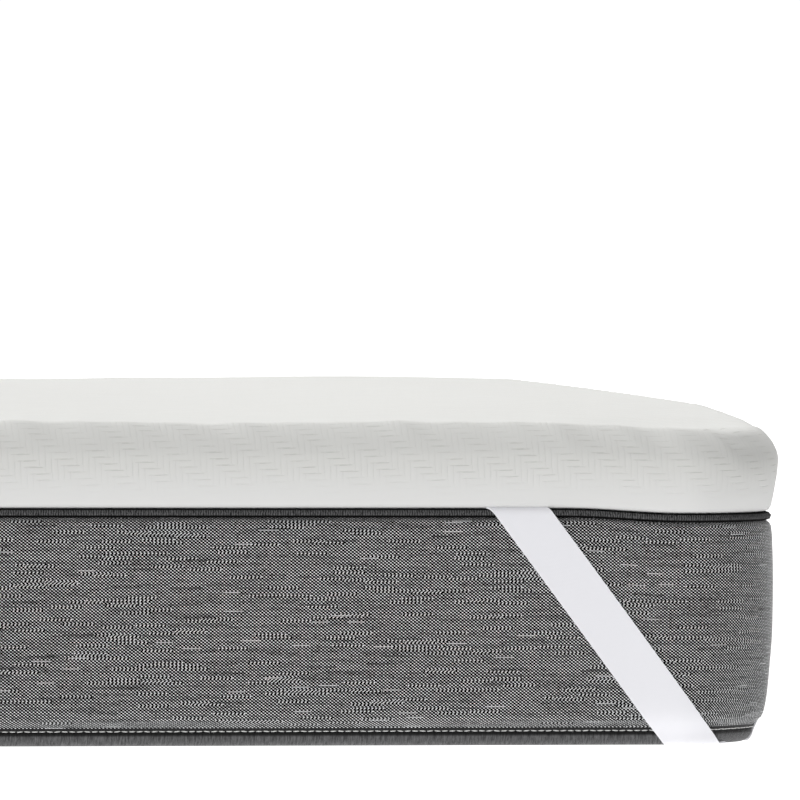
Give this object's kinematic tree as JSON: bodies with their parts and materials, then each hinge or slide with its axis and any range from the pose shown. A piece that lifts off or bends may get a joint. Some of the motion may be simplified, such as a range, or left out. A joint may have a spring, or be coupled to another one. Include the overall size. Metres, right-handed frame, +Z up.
{
  "type": "mattress topper strapped on a mattress",
  "caption": "Foam mattress topper in a white knitted cover, held over a grey heather mattress by elastic straps that pass under its corners.",
  "frame": {"origin": "on the floor, under the middle of the mattress", "axes": "+Z up, +Y along the mattress from its foot end to its head end, +X to the right as seen from the foot end"},
  "size_m": [0.9722, 1.9122, 0.2849],
  "materials": {
    "knitted_cover": "matte knit with a raised parquet herringbone",
    "elastic": "smooth flat elastic webbing",
    "heather_border": "black and white heather weave",
    "charcoal_tape": "matte knitted tape",
    "grey_panel": "matte heather knit"
  },
  "bodies": {
    "root": {"topper": "knitted_cover", "strap_front_right": "elastic", "strap_front_left": "elastic", "strap_back_right": "elastic", "strap_back_left": "elastic", "mattress_border": "heather_border", "mattress_top_panel": "charcoal_tape", "mattress_bottom_panel": "grey_panel"}
  },
  "joints": []
}
